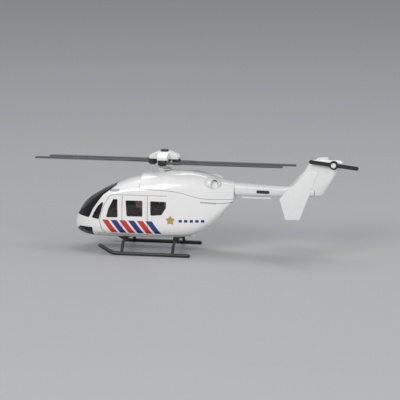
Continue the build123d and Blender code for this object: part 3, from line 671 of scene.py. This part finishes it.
# ------------------------------------------------------------------------------ main blades
# Each blade is a black flexible moulding: a bored ear, a short neck and a long panel of
# aerofoil section with a rounded tip. It swings about the pin through its ear.
def blade_section(chord_share, fullness):
    """Half thickness at a share of the chord: an oval at 0 fullness, at 1 a flat plate with
    round edges that thins towards the back."""
    squareness, edge_rounding, back_thinning = 5, 0.4, 0.45
    across = abs(2 * chord_share - 1)
    oval = math.sqrt(max(1 - across ** 2, 0.0))
    plate = max(1 - across ** squareness, 0.0) ** edge_rounding * (1 - back_thinning * chord_share)
    return oval + (plate - oval) * fullness


def panel_into(work, stations, level):
    """Adds a blade panel. Each station is x, leading y, trailing y, thickness, fullness."""
    steps, underside = 14, -0.7
    shares = [(1 - math.cos(math.pi * k / steps)) / 2 for k in range(steps + 1)]
    rows = []
    for x, lead, trail, thick, fullness in stations:
        upper = [(lead + (trail - lead) * s, thick / 2 * blade_section(s, fullness)) for s in shares]
        lower = [(y, underside * z) for y, z in reversed(upper[1:-1])]
        rows.append([work.verts.new(Vector((x, y, level + z))) for y, z in upper + lower])
    for row, following in zip(rows, rows[1:]):
        for k in range(len(row)):
            last = (k + 1) % len(row)
            work.faces.new((row[k], row[last], following[last], following[k]))
    work.faces.new(rows[0])
    work.faces.new(list(reversed(rows[-1])))
    bmesh.ops.recalc_face_normals(work, faces=work.faces)


BLADE_THICK, NECK_HALF, NECK_THICK = 1.0 * MM, 1.7 * MM, 1.8 * MM
NECK_START, NECK_END, TIP_RADIUS, THINNEST_TIP = 1.6 * MM, 11 * MM, 1.3 * MM, 0.2
EAR_BORE_RADIUS, EAR_EDGE = 1.06 * MM, 0.3 * MM


def blade_stations(reach, chord):
    """Neck, flare, plain panel and rounded tip, from the pin outwards."""
    stations = []
    for x, grow in [(NECK_START, 0.0), (NECK_END - 2 * MM, 0.0), (NECK_END - 1 * MM, 0.15),
                    (NECK_END, 0.5), (NECK_END + 1 * MM, 0.85), (NECK_END + 2 * MM, 1.0)]:
        half = NECK_HALF + (chord / 2 - NECK_HALF) * grow
        stations.append((x, half, -half, NECK_THICK + (BLADE_THICK - NECK_THICK) * grow, grow))
    plain, plain_steps = reach - TIP_RADIUS - NECK_END - 2 * MM, 12
    stations += [(NECK_END + 2 * MM + plain * k / plain_steps, chord / 2, -chord / 2, BLADE_THICK, 1.0)
                 for k in range(1, plain_steps + 1)]
    for degrees in (15, 30, 45, 60, 72, 82, 88):
        s, c = math.sin(math.radians(degrees)), math.cos(math.radians(degrees))
        half = chord / 2 - TIP_RADIUS + TIP_RADIUS * c
        tip_thick = BLADE_THICK * max(c, THINNEST_TIP) ** 0.5
        stations.append((reach - TIP_RADIUS + TIP_RADIUS * s, half, -half, tip_thick, 1.0))
    return stations


BLADE_BLACK = moulding_finish("blade_moulding", (0.016, 0.016, 0.017), rough=0.30, peel=1500,
                              patch=120, gloss_spread=0.14, tint_spread=0.3, bump=0.015 * MM,
                              dust=0.08, scuff=0.8, Coat_Weight=0.15)
for blade in ("blade_fore", "blade_aft", "blade_port", "blade_starboard"):
    low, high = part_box(blade)
    pin = joint_place[blade]
    towards_tail = (low.x + high.x) / 2 > pin.x
    ear_radius = min(abs(low.x - pin.x), abs(high.x - pin.x))
    reach = max(abs(low.x - pin.x), abs(high.x - pin.x))
    work = bmesh.new()
    turned_into(work, [(EAR_BORE_RADIUS, low.z), (ear_radius, low.z), (ear_radius, high.z),
                       (EAR_BORE_RADIUS, high.z)], closed=True)
    ease_edges(work, EAR_EDGE)
    panel_into(work, blade_stations(reach, high.y - low.y), pin.z)
    if not towards_tail:
        bmesh.ops.rotate(work, verts=work.verts, cent=(0, 0, 0), matrix=Matrix.Rotation(math.pi, 3, "Z"))
    bmesh.ops.translate(work, verts=work.verts, vec=(pin.x, pin.y, 0))
    add_piece(f"{blade}_moulding", finished_mesh(blade, work), BLADE_BLACK, blade, blade)

# ------------------------------------------------------------------------------ tail rotor
# The tail rotor is one black moulding of two blades on a ring. It turns on a white headed pin
# that is pressed into the boss on the port side of the fin.
moulded_piece("tail_rotor_moulding", "tail_rotor_blades", BLADE_BLACK, "tail_rotor",
              voxel=0.12 * MM)
smooth_piece("tail_rotor_pin", "tail_rotor_axle", MOULDED_WHITE)

# ------------------------------------------------------------------------------ studio
# A plain pale floor under soft light from three large panels, with a dim even sky. The key panel
# stands in front of the port side, so that the nose and the flank read against the floor.
floor_mesh = bpy.data.meshes.new("studio_floor")
work = bmesh.new()
bmesh.ops.create_grid(work, x_segments=1, y_segments=1, size=4.0)
work.to_mesh(floor_mesh)
work.free()
floor_mesh.materials.append(moulding_finish("studio_floor", (0.42, 0.42, 0.425), rough=0.6, peel=300,
                                            patch=8, tint_spread=0.02, bump=0.02 * MM))
floor = bpy.data.objects.new("studio_floor", floor_mesh)
bpy.context.scene.collection.objects.link(floor)

world = bpy.data.worlds.new("studio")
bpy.context.scene.world = world
world.use_nodes = True
world.node_tree.nodes["Background"].inputs["Color"].default_value = (0.92, 0.95, 1.0, 1)
world.node_tree.nodes["Background"].inputs["Strength"].default_value = 0.42
bpy.context.scene.view_settings.view_transform = "Standard"
AIMED_AT = Vector((0, 0, 30 * MM))


def light_panel(name, place, size, power, colour):
    """Soft rectangular light aimed at the middle of the model."""
    data = bpy.data.lights.new(name, "AREA")
    data.shape = "RECTANGLE"
    data.size, data.size_y = size
    data.energy = power
    data.color = colour
    lamp = bpy.data.objects.new(name, data)
    lamp.location = place
    lamp.rotation_euler = (AIMED_AT - Vector(place)).to_track_quat("-Z", "Y").to_euler()
    bpy.context.scene.collection.objects.link(lamp)


light_panel("key_panel", place=(-0.45, -1.1, 0.75), size=(0.7, 0.5), power=9.4, colour=(1, 0.985, 0.96))
light_panel("top_panel", place=(0.1, 0.2, 1.1), size=(1.1, 0.4), power=4.6, colour=(1, 1, 1))
light_panel("fill_panel", place=(1.0, -0.7, 0.4), size=(0.5, 0.7), power=4.0, colour=(0.95, 0.97, 1))
